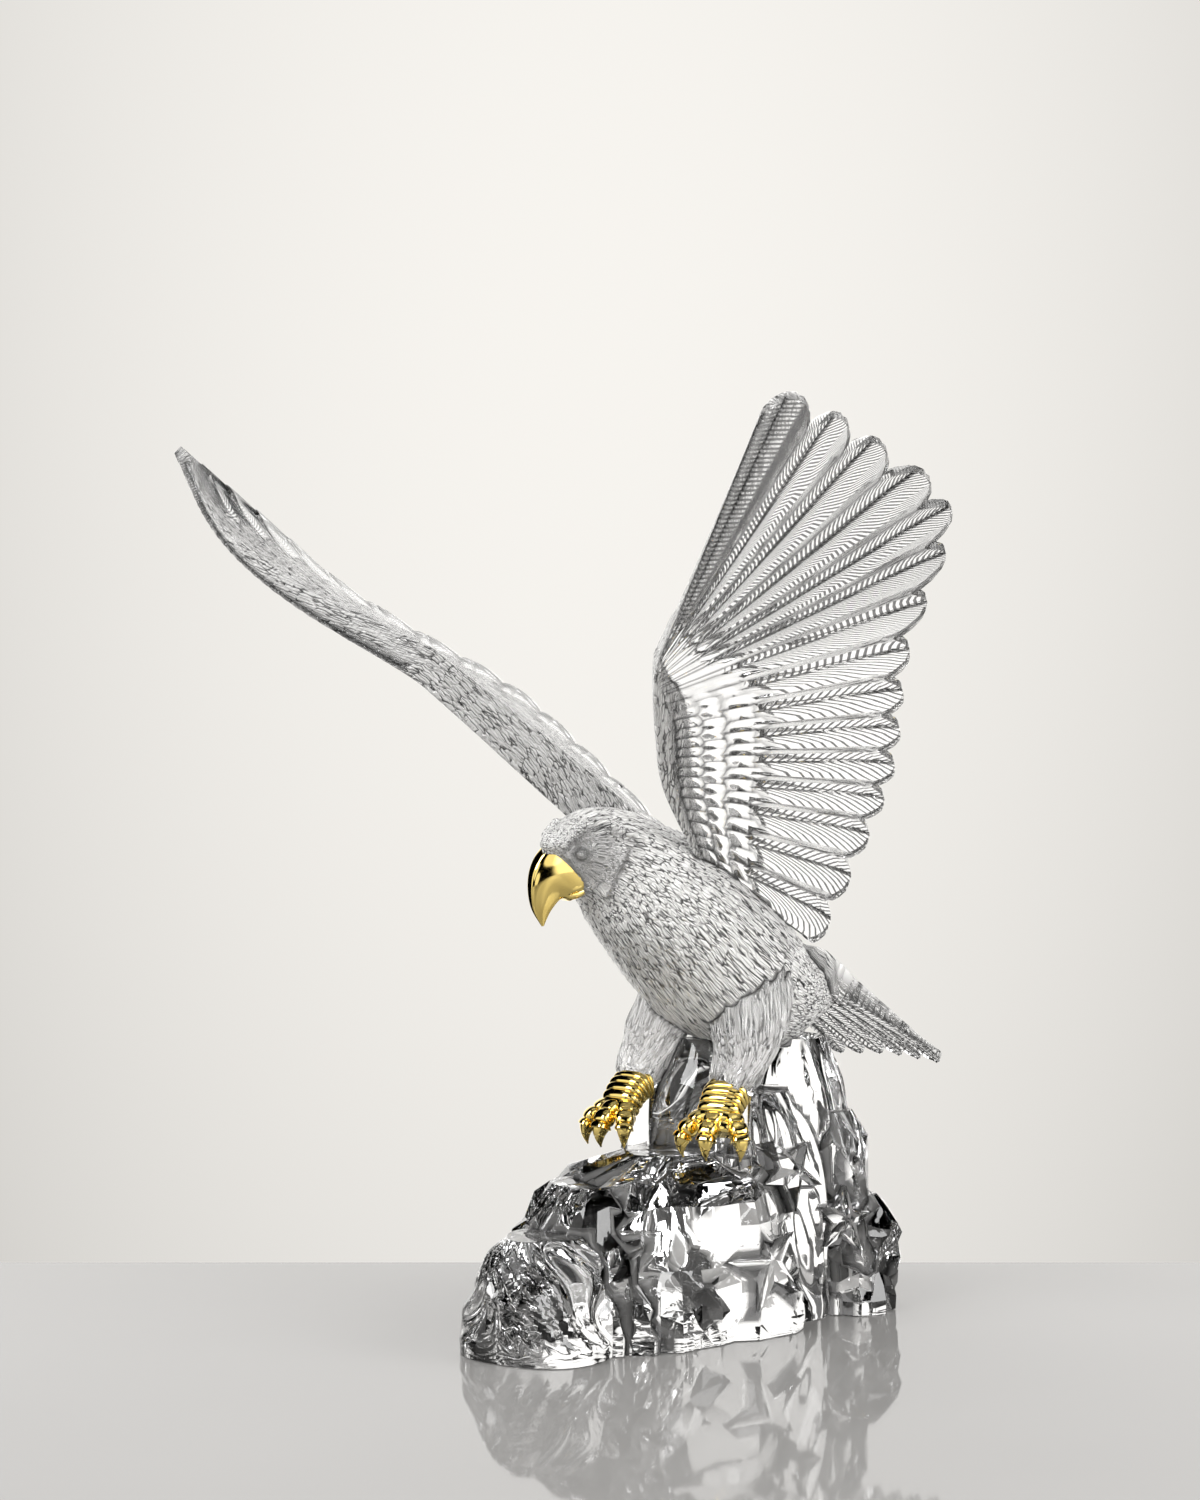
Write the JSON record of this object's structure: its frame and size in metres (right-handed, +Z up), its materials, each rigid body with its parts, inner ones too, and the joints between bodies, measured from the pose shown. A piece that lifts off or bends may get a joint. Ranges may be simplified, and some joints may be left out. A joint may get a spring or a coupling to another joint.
{
  "type": "crystal eagle sculpture",
  "caption": "Clear cut-crystal eagle with raised wings landing on a faceted crystal rock, with a gilt beak and gilt feet; a free-standing display sculpture.",
  "frame": {"origin": "on the flat underside of the rock, below the middle of the rock's length", "axes": "+Z up, the bird faces -Y, the bird's left wing is on +X"},
  "size_m": [0.443, 0.3528, 0.4519],
  "materials": {
    "crystal": "polished rock, satin engraved plumage",
    "gilt": "mirror gilt"
  },
  "bodies": {
    "root": {"crystal": "crystal", "beak": "gilt", "talon_left": "gilt", "talon_right": "gilt"}
  },
  "joints": []
}
